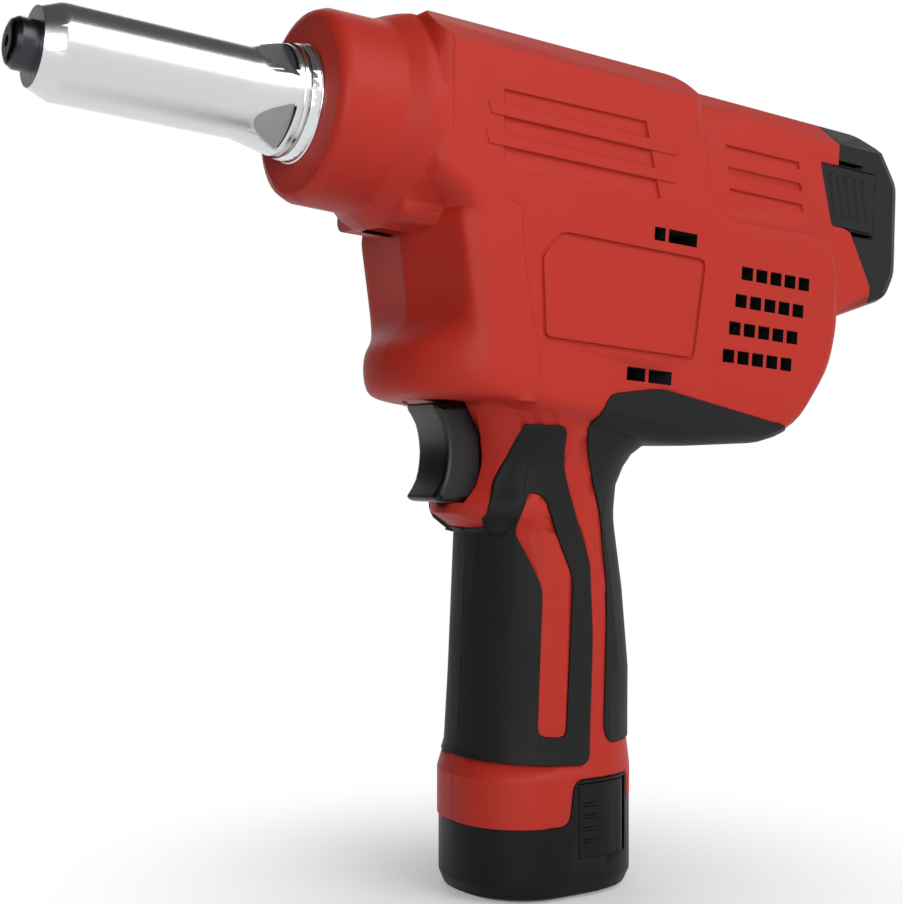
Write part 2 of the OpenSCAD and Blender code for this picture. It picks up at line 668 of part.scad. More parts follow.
// Barrel
module barrel_sleeve() color(steel) on_axis() difference() {
    turned([[nose_radius, sleeve_tip], [sleeve_tip_diameter / 2, sleeve_tip],
        [sleeve_radius, sleeve_tip + sleeve_cone],
        [sleeve_radius, flare_front], [flare_diameter / 2, ring_front - wall / 2],
        [flare_diameter / 2, ring_front], [tail_radius, ring_front], [tail_radius, tail_end],
        [sleeve_bore, tail_end], [sleeve_bore, nose_root], [nose_radius, nose_root]]);
    for (a = [45:90:315]) rotate([a, 0, 0]) block([flare_front, -sleeve_diameter, sleeve_radius * 1.02],
        [ring_front - wall, sleeve_diameter, sleeve_diameter]);
}
module lock_ring() color(steel) on_axis() {
    edge = ring_diameter / 2;
    turned([for (p = ring_shares) [edge - p[0] * rim_step, ring_front + p[1] * ring_thickness],
        [tail_radius + seat_gap, drum_face], [tail_radius + seat_gap, ring_front]]);
}
module nosepiece() color(dark_steel) on_axis() difference() {
    turned([[0, nose_tip], [nose_radius * 0.62, nose_tip], [nose_radius * 0.85, nose_tip + nose_stand * 0.1],
        [nose_radius, nose_tip + nose_stand * 0.35], [nose_radius, sleeve_tip], [nose_thread, sleeve_tip],
        [nose_thread, nose_root], [0, nose_root]]);
    rod(nose_tip - over, nose_root + over, nose_bore / 2);
}

// Gear case: boss for the sleeve, bearing seat, nut chamber and the gear chamber's two lobes
module case_lobes(start, end, grow) hull() {
    rod(start, end, lobe_radius + grow);
    translate([0, 0, -motor_drop]) rod(start, end, pinion_lobe + grow);
}
module gear_case() color(steel) on_axis() difference() {
    union() {
        rod(drum_face, bearing_front, case_boss_radius);
        rod(bearing_front - wall, case_front_wall, case_radius);
        case_lobes(case_front_wall, chamber_rear, 0);
    }
    rod(drum_face - over, tail_end + wall / 2, tail_radius + seat_gap);
    rod(tail_end, bearing_front + over, jaw_case_radius + slide_gap);
    rod(bearing_front, chamber_front + over, bearing_radius + seat_gap);
    rod(chamber_front, chamber_rear + over, chamber_radius);
    translate([0, 0, -motor_drop]) {
        rod(chamber_front, chamber_rear + over, pinion_chamber);
        rod(case_front_wall - over, chamber_rear, out_shaft_radius + run_gap);
    }
}
module gear_cover() color(steel) on_axis() difference() {
    case_lobes(chamber_rear, cover_rear + case_lip, 0);
    rod(chamber_rear - over, cover_rear, bearing_radius + seat_gap);
    rod(chamber_rear, cover_rear + case_lip + over, guide_radius + seat_gap);
    translate([0, 0, -motor_drop]) {
        rod(chamber_rear - over, cover_rear + case_lip + over, out_shaft_radius + run_gap);
        rod(cover_rear, cover_rear + case_lip + over, ring_outer + seat_gap);
    }
}
module thrust_bearing() color(steel) on_axis()
    tube(bearing_front, nut_front - run_gap, bearing_radius, screw_radius + slide_gap);
module rear_bearing() color(steel) on_axis()
    tube(chamber_rear, cover_rear, bearing_radius, hub_radius + run_gap);
module screw_guide() color(dark_steel) on_axis() difference() {
    tube(cover_rear, guide_rear, guide_radius, guide_bore);
    block([cover_rear + wall, -guide_radius * 2, -key_radius - slide_gap],
        [guide_rear - wall, guide_radius * 2, key_radius + slide_gap]);
}
module mandrel_tube() color(steel) on_axis()
    tube(tube_front, rear_face, tube_radius, tube_radius - tube_wall);

// Puller: the hollow screw draws the jaw case back along the barrel
module ball_nut() color(steel) on_axis() difference() {
    union() {
        rod(nut_front, chamber_front, nut_radius);
        rod(chamber_front, cover_rear - slide_gap, hub_radius);
    }
    rod(nut_front - over, cover_rear + over, screw_radius + run_gap);
}
module nut_gear() color(dark_steel) on_axis()
    gear(nut_teeth, gear_module, gear_front, gear_rear, hub_radius + seat_gap);
module ball_screw() color(steel) on_axis() difference() {
    union() {
        rod(jaw_case_rear, screw_rear, screw_radius);
        rod(jaw_case_rear - jaw_thread_length, jaw_case_rear, jaw_thread);
    }
    rod(jaw_case_rear - jaw_thread_length - over, screw_rear + over, screw_bore / 2);
    translate([key_place, guide_radius, 0]) rotate([90, 0, 0])
        cylinder(r = key_radius + seat_gap, h = 2 * guide_radius);
}
module guide_key() color(dark_steel) on_axis() twin() translate([key_place, -tube_radius - slide_gap, 0])
    rotate([90, 0, 0]) cylinder(r = key_radius, h = guide_radius - tube_radius - 2 * slide_gap);
module jaw_case() color(steel) on_axis() turned([[jaw_mouth, jaw_case_front],
    [jaw_case_radius * 0.8, jaw_case_front],
    [jaw_case_radius, jaw_case_front + jaw_length / 3], [jaw_case_radius, jaw_case_rear],
    [jaw_thread + seat_gap, jaw_case_rear], [jaw_thread + seat_gap, spring_rear], [jaw_bore, spring_rear],
    [jaw_bore, jaw_rear - jaw_length * 0.2], [jaw_mouth, jaw_case_front + jaw_length * 0.1]]);
module jaws() color(dark_steel) on_axis() difference() {
    turned([[0, jaw_case_front + jaw_length * 0.3], [jaw_mouth * 0.98, jaw_case_front + jaw_length * 0.3],
        [jaw_bore - seat_gap * 2, jaw_rear - jaw_length * 0.2 + seat_gap],
        [jaw_bore - seat_gap * 2, jaw_rear], [0, jaw_rear]]);
    rod(jaw_case_front, jaw_rear + over, nose_bore / 2);
    for (a = [30, 150, 270]) rotate([a, 0, 0]) block([jaw_case_front, -slide_gap, 0],
        [jaw_rear + over, slide_gap, jaw_case_radius]);
}
module jaw_pusher() color(steel) on_axis() turned([[screw_bore / 2 - tube_wall, jaw_rear],
    [jaw_bore * 0.75, jaw_rear], [jaw_bore - slide_gap, jaw_rear + pusher_length * 0.4],
    [jaw_bore - slide_gap, spring_front], [screw_bore / 2 - tube_wall, spring_front]]);
// A coil of round wire between the pusher and the screw's front end
module pusher_spring() color(steel) on_axis() {
    sides = 5;
    coil = jaw_bore - slide_gap - spring_wire;
    rise = spring_rear - spring_front - 2 * spring_wire;
    rings = spring_turns * 9;
    points = [for (k = [0:rings])
        let (a = 360 * spring_turns * k / rings, x = spring_front + spring_wire + rise * k / rings)
        each [for (j = [0:sides - 1]) let (b = 360 * j / sides, r = coil + spring_wire * cos(b))
            [x + spring_wire * sin(b), r * cos(a), r * sin(a)]]];
    walls = [for (k = [0:rings - 1]) for (j = [0:sides - 1]) let (i = (j + 1) % sides)
        each [[k * sides + j, k * sides + i, (k + 1) * sides + i],
            [k * sides + j, (k + 1) * sides + i, (k + 1) * sides + j]]];
    polyhedron(points, concat([[for (j = [sides - 1:-1:0]) j]], walls,
        [[for (j = [0:sides - 1]) rings * sides + j]]));
}

// Drive train below the barrel
module ring_gear() color(dark_steel)
    on_motor() translate([cover_rear, 0, 0]) rotate([0, 90, 0]) difference() {
    cylinder(r = ring_outer, h = motor_front - cover_rear);
    translate([0, 0, -over]) rotate(180 / ring_teeth) linear_extrude(motor_front - cover_rear + 2 * over)
        polygon(gear_points(ring_teeth, planet_module, planet_module * 1.2, planet_module, backlash_share));
}
module motor_can() color(steel) on_motor() difference() {
    rod(motor_front, motor_rear, motor_radius);
    rod(motor_front + can_wall, motor_rear + over, motor_radius - can_wall);
    rod(motor_front - over, motor_rear, shaft_radius + run_gap);
}
module motor_magnets() color(dark_steel) on_motor() difference() {
    tube(motor_front + 2 * can_wall, motor_rear - 2 * can_wall, motor_radius - can_wall - seat_gap,
        magnet_bore);
    twin() block([motor_front, magnet_bore * 0.8, -magnet_bore / 3],
        [motor_rear, motor_radius, magnet_bore / 3]);
}
module motor_end_cap() color(soft_black) on_motor() difference() {
    rod(motor_rear, cap_rear, motor_radius);
    rod(motor_rear - over, cap_rear - can_wall, motor_radius - 2 * can_wall);
    rod(motor_rear, cap_rear + over, shaft_radius + run_gap);
    for (a = [45:90:315]) rotate([a, 0, 0]) translate([0, 0, motor_radius * 0.55])
        rod(motor_rear, cap_rear + over, can_wall * 1.5);
}
module motor_shaft() color(steel) on_motor() rod(planet_front, fan_rear, shaft_radius);
module armature() color([0.6, 0.36, 0.2]) on_motor() {
    difference() {
        rod(motor_front + 3 * can_wall, motor_rear - 3 * can_wall, armature_radius);
        rod(motor_front, motor_rear, shaft_radius + seat_gap);
        for (a = [0:72:288]) rotate([a, 0, 0]) block([motor_front, -can_wall / 2, armature_radius * 0.7],
            [motor_rear, can_wall / 2, armature_radius * 2]);
    }
}
module cooling_fan() color(soft_black) on_motor() {
    difference() {
        union() {
            rod(fan_front, fan_rear, fan_radius / 3);
            rod(fan_front, fan_front + can_wall, fan_radius);
            for (k = [0:fan_blades - 1]) rotate([360 * k / fan_blades, 0, 0])
                block([fan_front + can_wall / 2, -can_wall / 2, fan_radius * 0.25],
                    [fan_rear - can_wall / 2, can_wall / 2, fan_radius * 0.94]);
        }
        rod(fan_front - over, fan_rear + over, shaft_radius + seat_gap);
    }
}
module sun_gear() color(steel) on_motor()
    gear(sun_teeth, planet_module, planet_front, planet_rear + carrier_thickness / 2,
        shaft_radius + seat_gap);
module planet_carrier() color(steel) on_motor() {
    rod(carrier_front, carrier_rear, orbit + 2 * pin_radius);
    rod(case_front_wall, carrier_front, out_shaft_radius);
    for (a = [0:120:240]) rotate([a, 0, 0]) translate([0, 0, -orbit])
        rod(carrier_rear, planet_rear, pin_radius);
}
module drive_pinion() color(dark_steel) on_motor() rotate([180 + 180 / pinion_teeth, 0, 0])
    gear(pinion_teeth, gear_module, gear_front, gear_rear, out_shaft_radius + seat_gap);
module planet_gear(turn) color(steel) on_motor() rotate([turn, 0, 0]) translate([0, 0, -orbit])
    rotate([180 / planet_teeth, 0, 0])
        gear(planet_teeth, planet_module, planet_front, planet_rear, pin_radius + run_gap);
module planet_gear_1() planet_gear(0);
module planet_gear_2() planet_gear(120);
module planet_gear_3() planet_gear(240);

// Electrics
board_length = 52;
board_thickness = 1.6;
board_half = 17;
module board_at(grow) on_axis() block([motor_front - grow, -board_half - grow, -body_drop * 0.82 - grow],
    [motor_front + board_length + grow, board_half + grow, -body_drop * 0.82 + board_thickness + grow]);
module control_board() color([0.1, 0.35, 0.2]) board_at(0);
module board_slot() board_at(seat_gap);
module switch_body() color(soft_black) difference() {
    block([switch_front, -switch_half, switch_bottom()],
        [switch_front + switch_length, switch_half, trigger_top]);
    translate([0, 0, rod_height()])
        rod(switch_front - over, switch_front + switch_bore_length, stem_rod + slide_gap);
}
function rod_height() = trigger_bottom + trigger_height * 0.55;
terminal_height = 6;
module terminal_space() translate([0, 0, stem_top + contact_height + slide_gap])
    block([-stem_depth * 0.3 - seat_gap, -stem_width * 0.3 - seat_gap, -over],
        [stem_depth * 0.3 + seat_gap, stem_width * 0.3 + seat_gap, terminal_height + seat_gap]);
module terminal_block() color(soft_black) translate([0, 0, stem_top + contact_height + slide_gap])
    block([-stem_depth * 0.3, -stem_width * 0.3, 0], [stem_depth * 0.3, stem_width * 0.3, terminal_height]);

// Trigger with its finger curve and the rod that works the switch
module trigger() color(soft_black) {
    outline = [for (p = trigger_shares) [p[0] * trigger_reach, trigger_bottom + p[1] * trigger_height]];
    plate(eased(outline, even(trigger_shares, trigger_round)), trigger_half, trigger_edge, trigger_edge);
    translate([0, 0, rod_height()])
        rod(-trigger_back - over, switch_front + switch_bore_length - trigger_travel - slide_gap, stem_rod);
}

// Battery: base, stem, cells, contacts and side latches
module corners(depth, width, corner, low, high) for (x = [-1, 1]) for (y = [-1, 1])
    translate([x * (depth / 2 - corner), y * (width / 2 - corner), low])
        cylinder(r = corner, h = high - low, $fn = 32);
module stem_form(grow, low, high) hull()
    corners(stem_depth + 2 * grow, stem_width + 2 * grow, stem_corner + grow, low, high);
function rounded(depth, width, corner) = [for (q = [0:3]) for (k = [0:8]) let (a = 90 * q + 90 * k / 8,
    x = q == 0 || q == 3 ? 1 : -1, y = q < 2 ? 1 : -1)
    [x * (depth / 2 - corner) + corner * cos(a), y * (width / 2 - corner) + corner * sin(a)]];
module post(grow, low, high) translate([0, 0, low]) linear_extrude(high - low)
    polygon(rounded(base_depth + 2 * grow, base_width + 2 * grow, base_corner + grow));
function shoulder_outline() = eased([for (p = shoulder_shares) [p[0] * base_depth,
    base_height + p[1] * foot_height]], shoulder_setbacks, 4);
module shoulder(gap, grow) intersection() {
    difference() {
        post(grow, base_height - 2 * over, latch_top + 2 * over);
        post(-shoulder_thickness - gap, base_height - 3 * over, latch_top + 3 * over);
    }
    prism(inset(shoulder_outline(), -gap), -base_width, base_width);
}
module latch_room() block([latch_front - slide_gap, -base_width, latch_bottom - seat_gap],
    [latch_rear + 2 * slide_gap, latch_thickness + battery_latch_travel + 2 * slide_gap - base_width / 2,
        latch_top + slide_gap]);
module battery_base() color(soft_black) difference() {
    union() {
        hull() {
            corners(base_depth - 2 * base_round, base_width - 2 * base_round, base_corner - base_round,
                0, seat_gap);
            corners(base_depth - base_round * 0.6, base_width - base_round * 0.6,
                base_corner - base_round * 0.3, base_round * 0.3, base_round * 0.4);
            corners(base_depth, base_width, base_corner, base_round, base_height);
        }
        shoulder(0, 0);
    }
    twin() latch_room();
}
module battery_stem() color(soft_black) difference() {
    stem_form(0, base_height, stem_top);
    for (p = cell_places()) translate([p[0], p[1], base_height + cell_wall])
        cylinder(r = cell_diameter / 2 + seat_gap, h = cell_length + seat_gap);
}
function cell_places() = [for (a = [180, 60, -60]) cell_spread / sqrt(3) * [cos(a), sin(a)]];
module battery_cells() color([0.2, 0.45, 0.7]) for (p = cell_places())
    translate([p[0], p[1], base_height + cell_wall]) cylinder(r = cell_diameter / 2, h = cell_length);
module battery_contacts() color([0.8, 0.65, 0.3]) for (y = [-1, 0, 1])
    translate([0, y * stem_width * 0.2, stem_top])
        block([-stem_depth * 0.2, -contact_thickness / 2, 0],
            [stem_depth * 0.2, contact_thickness / 2, contact_height]);
module battery_latch() color(soft_black) difference() {
    intersection() {
        post(0, latch_bottom, latch_top);
        block([latch_front, -base_width, latch_bottom],
            [latch_rear, latch_thickness - base_width / 2, latch_top]);
    }
    for (k = [1:latch_ridges]) translate([latch_front + wall / 2, -base_width / 2,
        latch_bottom + (latch_top - latch_bottom) * (0.06 + 0.166 * k)])
        rotate([0, 90, 0]) cylinder(r = ridge_depth, h = latch_rear - latch_front - wall);
}
module battery_latch_left() battery_latch();
module battery_latch_right() mirror([0, 1, 0]) battery_latch();

// Mandrel collector with its two side latches
function collector_points(shares) = [for (p = shares) [rear_face + p[0] * collector_length,
    p[1] * (p[1] < 0 ? body_drop : rear_top)]];
function tail_outline() = let (outline = concat([for (p = rear_shares) rear_point(p)],
    collector_points(collector_shares))) eased(outline, even(outline, tail_setback), 3);
module border(gap) prism(inset(collector_points(border_shares), -gap), -body_half * 2, body_half * 2);
module tab_form(gap, low, high) on_axis()
    prism(inset(eased(collector_points(tab_shares), even(tab_shares, tab_corner)), -gap), low, high);
module tab_room() tab_form(slide_gap, -rear_half * 2, -pocket_half);
function tab_point(i) = collector_points(tab_shares)[i];
function tab_length() = tab_point(1)[0] - tab_point(0)[0];
module tab_slits() on_axis() for (i = [0, 3]) hull() for (x = [0.05, 0.75])
    translate([tab_point(i)[0] + x * tab_length(), -bin_half - collector_wall / 2,
        tab_point(i)[1] + (i == 0 ? 1 : -1) * tab_slit])
        rotate([90, 0, 0]) cylinder(r = tab_slit / 2, h = rear_half, $fn = 12);
module mandrel_collector() color(soft_black) difference() {
    on_axis() plate(tail_outline(), collector_half, body_round, body_round);
    on_axis() border(seat_gap);
    on_axis() prism(eased(collector_points(bin_shares), even(bin_shares, collector_wall)),
        -bin_half, bin_half);
    twin() tab_room();
    twin() tab_slits();
    top_chamfer(rear_top, rear_half);
    on_axis() for (x = ridge_shares) hull() for (y = [-1, 1])
        translate([rear_face + x * collector_length, y * rear_half, rear_top + over])
            sphere(r = over + ridge_sink, $fn = 12);
}
module collector_latch() color(soft_black) difference() {
    tab_form(0, -collector_half, tab_thickness - collector_half);
    on_axis() for (k = [1:tab_grooves]) translate([
        (tab_point(0) + tab_point(3))[0] / 2 + (tab_point(1) - tab_point(0))[0] * k / (tab_grooves + 2),
        -collector_half - tab_groove_radius * 0.6, (tab_point(0) + tab_point(3))[1] / 2])
        rotate([0, tab_lean, 0])
            cylinder(r = tab_groove_radius, h = (tab_point(0) - tab_point(3))[1] - 2 * wall, center = true);
}
module collector_latch_left() collector_latch();
module collector_latch_right() mirror([0, 1, 0]) collector_latch();

left_housing();
right_housing();
housing_screws();
left_front_grip();
right_front_grip();
left_rear_grip();
right_rear_grip();
barrel_sleeve();
lock_ring();
nosepiece();
gear_case();
gear_cover();
thrust_bearing();
rear_bearing();
screw_guide();
mandrel_tube();
ring_gear();
motor_can();
motor_magnets();
motor_end_cap();
control_board();
switch_body();
terminal_block();
trigger();
ball_nut();
nut_gear();
ball_screw();
guide_key();
jaw_case();
jaws();
jaw_pusher();
pusher_spring();
motor_shaft();
armature();
cooling_fan();
sun_gear();
planet_carrier();
drive_pinion();
planet_gear_1();
planet_gear_2();
planet_gear_3();
battery_base();
battery_stem();
battery_cells();
battery_contacts();
battery_latch_left();
battery_latch_right();
mandrel_collector();
collector_latch_left();
collector_latch_right();
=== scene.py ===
import math

import bmesh
import bpy
from mathutils import Matrix, Vector
from mathutils.bvhtree import BVHTree


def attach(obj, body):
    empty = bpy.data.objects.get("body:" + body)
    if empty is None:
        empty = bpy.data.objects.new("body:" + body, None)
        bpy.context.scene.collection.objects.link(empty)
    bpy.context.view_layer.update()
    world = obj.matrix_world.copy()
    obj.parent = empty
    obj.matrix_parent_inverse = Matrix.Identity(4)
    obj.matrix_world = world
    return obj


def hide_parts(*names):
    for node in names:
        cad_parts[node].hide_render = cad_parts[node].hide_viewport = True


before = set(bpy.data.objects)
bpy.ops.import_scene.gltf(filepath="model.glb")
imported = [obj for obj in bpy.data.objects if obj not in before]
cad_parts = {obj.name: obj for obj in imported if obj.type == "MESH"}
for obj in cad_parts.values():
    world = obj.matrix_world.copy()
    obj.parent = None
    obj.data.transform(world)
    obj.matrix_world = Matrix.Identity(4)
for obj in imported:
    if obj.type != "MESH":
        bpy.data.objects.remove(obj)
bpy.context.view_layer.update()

bl_info = {
    "name": "Battery rivet tool",
    "version": (1, 0, 0),
    "blender": (4, 5, 0),
    "location": "3D View > Sidebar > Rivet tool",
    "description": "Dresses the packed battery rivet tool with its finishes, and sets its studio",
    "category": "Object",
}

MM = 0.001

# The photograph's camera: focal length and image height in pixels, sensor width in millimetres, place in
# metres and turn in degrees
FOCAL, IMAGE_HEIGHT = 1560, 904
SENSOR = 36.0
CAMERA_PLACE = (-0.2752, -0.3924, 0.1315)
CAMERA_TURN = (90, 0, -32)
# The lamps, which all face the tool's middle: name, place and side in metres, and power in watts
LAMPS = (
    ("Key", (0.4, -1.15, 1.15), 1.0, 11),
    ("Fill", (-0.85, -1.1, 0.45), 0.8, 7.5),
    ("Rim", (0.5, 1.2, 1.1), 0.9, 3),
)
TOOL_MIDDLE = (-0.02, 0, 0.16)

# Vertices closer than the first are one, planes cut to within the second, and flatter edges than the third go
WELD, CUT, FLAT = 0.002 * MM, 0.0001 * MM, math.radians(0.5)

# The barrel's frame leans 4.5 degrees about the tool's y axis, at a height in millimetres. Patterns and cuts
# that follow the barrel are turned by as much
BARREL_TILT = math.radians(4.5)
BARREL_HEIGHT = 222.3
# Boxes in the barrel's frame, in millimetres, as a range along it, half a width and a range of heights: the
# cavity that the vents open into, and the grille's slots. The cavity's faces and the slots' inner walls are painted
# black as shade
CAVITY = ((-30, 96), 28, (-72, 17))
GRILLE = ((45, 92), 32.5, (-68, -22))

# Half the gap between the two halves of the housing, and half the seam of the moulded front, in millimetres
JOINT_GAP, PARTING = 0.1, 0.03

# The moulded front below the drum, as level cuts from the ledge down to the guard over the trigger. Each cut
# is its height from the barrel's axis, then places along and across the barrel, from the parting line
# round to the housing's side, in millimetres.
FRONT_CUTS = (
    (-23, ((-42, 0), (-42, 12), (-41.5, 21), (-41, 26.5), (-40, 28.6), (-36, 32.8), (-24, 32.75))),
    (-28, ((-46.4, 0), (-45, 12), (-44, 21), (-43.6, 27.8), (-42.5, 29.6), (-36.6, 32.94), (-25, 32.86))),
    (-33, ((-45.2, 0), (-43.6, 12), (-42.6, 22), (-42.2, 28.4), (-41.1, 30), (-35.8, 32.95), (-24, 32.88))),
    (-43, ((-42.9, 0), (-41.3, 12), (-40.3, 22), (-39.9, 28.4), (-38.8, 30), (-33.9, 32.95), (-22, 32.88))),
    (-52, ((-40.9, 0), (-39.4, 12), (-38.5, 21.4), (-38.1, 27.8), (-37, 30), (-32, 32.98), (-20, 32.88))),
    (-57, ((-41.2, 0), (-40.2, 11), (-39.1, 20), (-38, 26.4), (-35.9, 30.4), (-30.4, 32.98), (-18, 32.88))),
    (-61.5, ((-45.6, 0), (-44.8, 10.5), (-42.4, 18.6), (-39, 25.2), (-34.6, 30.8), (-29.4, 32.98), (-17, 32.88))),
    (-65, ((-48.2, 0), (-47.6, 10.5), (-44.8, 18.4), (-40.2, 25.2), (-34.6, 30.8), (-28.8, 32.98), (-16, 32.88))),
    (-71, ((-48.2, 0), (-47.6, 10.5), (-44.8, 18.4), (-40.2, 25.2), (-34.4, 30.8), (-28.2, 32.98), (-15, 32.88))),
    (-76, ((-47.2, 0), (-46.7, 10), (-43.8, 17.6), (-39.2, 24.2), (-33.2, 29.7), (-26.4, 32.8), (-14, 32.6))),
    (-78.4, ((-45, 0), (-44.6, 9), (-42, 16), (-37.4, 22.4), (-31.4, 27.9), (-24.6, 31.6), (-14, 31.4))),
    (-78.6, ((-36, 0), (-36, 6), (-34.5, 11), (-31.5, 16), (-27, 21), (-21.5, 25), (-14, 27))),
)
# Where the moulded front stands for the plain one: its rear, top and bottom in the barrel's frame, and how
# thick its wall is, in millimetres
FRONT_REAR, FRONT_TOP, FRONT_BOTTOM = -36.5, -31.5, -79.2
FRONT_WALL = 1.2

# The front grip's edge beside the trigger, seen from the side: heights, with the edge's place and how far back
# the sheet reaches over the grip, in millimetres
FLAP_ROWS = ((139.5, -19.9, -15.6), (129.8, -21.7, -16.6), (123.3, -24.8, -17.6), (116.2, -27.6, -18.8),
             (111.6, -27.9, -19.8), (109.3, -26, -21), (107.6, -23.8, -22.4))
# How far the sheet stands off the shell and how thick it is, in millimetres, and how often it is smoothed
FLAP_LIFT, FLAP_WALL, FLAP_ROUNDS = 0.3, 2.5, 30


def linear(hex_colour):
    """An sRGB hex colour as linear red, green and blue."""
    parts = [int(hex_colour[k:k + 2], 16) / 255 for k in (1, 3, 5)]
    return tuple(c / 12.92 if c <= 0.04045 else ((c + 0.055) / 1.055) ** 2.4 for c in parts)


def colour(title, words, hex_colour):
    """A colour that a user may change."""
    return bpy.props.FloatVectorProperty(name=title, description=words, subtype="COLOR", size=3,
                                         min=0, max=1, default=linear(hex_colour))


def length(title, words, millimetres):
    """A length that a user may change, given in millimetres."""
    return bpy.props.FloatProperty(name=title, description=words, subtype="DISTANCE", unit="LENGTH",
                                   min=0, default=millimetres * MM, precision=5)


class RivetToolFinish(bpy.types.PropertyGroup):
    """Colours of the tool's finishes."""

    shell: colour("Shell", "Moulded ABS of the two housing halves", "#BC3024")
    soft_grip: colour("Soft grip", "Overmoulded elastomer of the handle panels", "#141514")
    dark_plastic: colour("Dark plastic", "Glass-filled nylon of battery and trigger", "#0E0E0E")
    bin_plastic: colour("Bin plastic", "Nylon of the mandrel bin and its tabs", "#171714")
    plating: colour("Plating", "Zinc plating of the barrel", "#D4D5D6")
    ring: colour("Ring", "Polished plating of the lock ring", "#DCDDDE")
    nose: colour("Nose", "Black oxide of the nosepiece", "#424246")
    floor: colour("Floor", "Paper sweep under the tool", "#F4F4F4")


class RivetToolSizes(bpy.types.PropertyGroup):
    """Sizes of the surface patterns and of the soft edges."""

    shell_grain: length("Shell grain", "Width of the spark-eroded grain on the shell", 0.5)
    shell_edge: length("Shell edge", "Radius that the shell's sharp edges are softened to", 0.6)
    grip_grain: length("Grip grain", "Width of the pebble grain on the soft grips", 0.45)
    plastic_grain: length("Plastic grain", "Width of the grain on the dark plastics", 0.4)
    plastic_edge: length("Plastic edge", "Radius that the dark plastics' edges are softened to", 0.4)
    turning_marks: length("Turning marks", "Distance between the barrel's tool marks", 0.4)
    metal_edge: length("Metal edge", "Radius that the metal edges are softened to", 0.2)


def add(tree, kind, sockets=None, **settings):
    """Adds a node with its settings; a socket gets a value, or a link where an output is given."""
    node = tree.nodes.new(kind)
    for name, value in settings.items():
        setattr(node, name, value)
    for name, value in (sockets or {}).items():
        if isinstance(value, bpy.types.NodeSocket):
            tree.links.new(value, node.inputs[name])
        else:
            node.inputs[name].default_value = value
    return node


def opened(name):
    """A new material with an empty node tree, its output, and its object coordinates."""
    material = bpy.data.materials.new(name)
    material.use_nodes = True
    tree = material.node_tree
    tree.nodes.clear()
    output = add(tree, "ShaderNodeOutputMaterial")
    place = add(tree, "ShaderNodeTexCoord").outputs["Object"]
    return material, tree, output, place


def noise(tree, place, width, detail):
    """A noise whose patches are about as wide as a length in metres."""
    return add(tree, "ShaderNodeTexNoise", {"Vector": place, "Scale": 1 / width, "Detail": detail}).outputs["Fac"]


def toned(tree, drift, base, shade):
    """A colour that drifts between a darker and a lighter shade of itself."""
    darker = (*[c * (1 - shade) for c in base], 1)
    lighter = (*[min(1, c * (1 + shade)) for c in base], 1)
    mix = add(tree, "ShaderNodeMix", {"Factor": drift}, data_type="RGBA")
    mix.inputs[6].default_value, mix.inputs[7].default_value = darker, lighter
    return mix.outputs[2]


def moulded(name, base, rough, grain, depth, edge, shade=0.05, ior=1.5):
    """A moulded polymer: a fine eroded grain, slow drifts of gloss and tone, and edges that the
    mould has softened."""
    material, tree, output, place = opened(name)
    drift = noise(tree, place, 35 * MM, 3.0)
    speck = noise(tree, place, grain, 2.0)
    tone = toned(tree, drift, base, shade)
    gloss = add(tree, "ShaderNodeMapRange", {"Value": drift, "From Min": 0.3, "From Max": 0.7,
                                             "To Min": rough - 0.05, "To Max": rough + 0.05}).outputs["Result"]
    soft = add(tree, "ShaderNodeBevel", {"Radius": edge}, samples=6).outputs["Normal"]
    bump = add(tree, "ShaderNodeBump", {"Height": speck, "Strength": 0.35, "Distance": depth, "Normal": soft})
    shader = add(tree, "ShaderNodeBsdfPrincipled", {"Base Color": tone, "Roughness": gloss,
                                                    "IOR": ior, "Normal": bump.outputs["Normal"]})
    tree.links.new(shader.outputs["BSDF"], output.inputs["Surface"])
    return material


def metal(name, base, rough, grain, depth, edge, along_barrel=False, shade=0.06):
    """A metal: its tone and gloss drift a little, and it carries a fine grain, drawn out round the
    barrel where a lathe has turned it."""
    material, tree, output, place = opened(name)
    turned = place
    if along_barrel:
        turned = add(tree, "ShaderNodeMapping", {"Vector": place, "Rotation": (0, -BARREL_TILT, 0),
                                                 "Scale": (1, 0.02, 0.02)}).outputs["Vector"]
    drift = noise(tree, place, 12 * MM, 4.0)
    speck = noise(tree, place, 0.6 * MM, 1.0)
    marks = noise(tree, turned, grain, 2.0)
    tone = toned(tree, drift, base, shade)
    gloss = add(tree, "ShaderNodeMapRange", {"Value": speck, "From Min": 0.3, "From Max": 0.7,
                                             "To Min": rough * 0.85, "To Max": rough * 1.15}).outputs["Result"]
    bump = add(tree, "ShaderNodeBump", {"Height": marks, "Strength": 0.25, "Distance": depth})
    if edge:
        soft = add(tree, "ShaderNodeBevel", {"Radius": edge}, samples=4).outputs["Normal"]
        tree.links.new(soft, bump.inputs["Normal"])
    shader = add(tree, "ShaderNodeBsdfPrincipled", {"Base Color": tone, "Roughness": gloss,
                                                    "Metallic": 1.0, "Normal": bump.outputs["Normal"]})
    tree.links.new(shader.outputs["BSDF"], output.inputs["Surface"])
    return material


def copied(node):
    """A shape that copies a CAD node, welded where its faces meet."""
    shape = bmesh.new()
    shape.from_mesh(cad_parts[node].data)
    bmesh.ops.remove_doubles(shape, verts=shape.verts, dist=WELD)
    return shape


def placed(shape, name, *materials):
    """A new object with a shape, which is used up, and with its materials."""
    mesh = bpy.data.meshes.new(name)
    shape.to_mesh(mesh)
    shape.free()
    for material in materials:
        mesh.materials.append(material)
    piece = bpy.data.objects.new(name, mesh)
    bpy.context.scene.collection.objects.link(piece)
    return piece


def walled(piece, thickness, offset):
    """Gives an open surface a wall, in millimetres, inside it where the offset is -1."""
    wall = piece.modifiers.new("Wall", "SOLIDIFY")
    wall.thickness, wall.offset = thickness * MM, offset


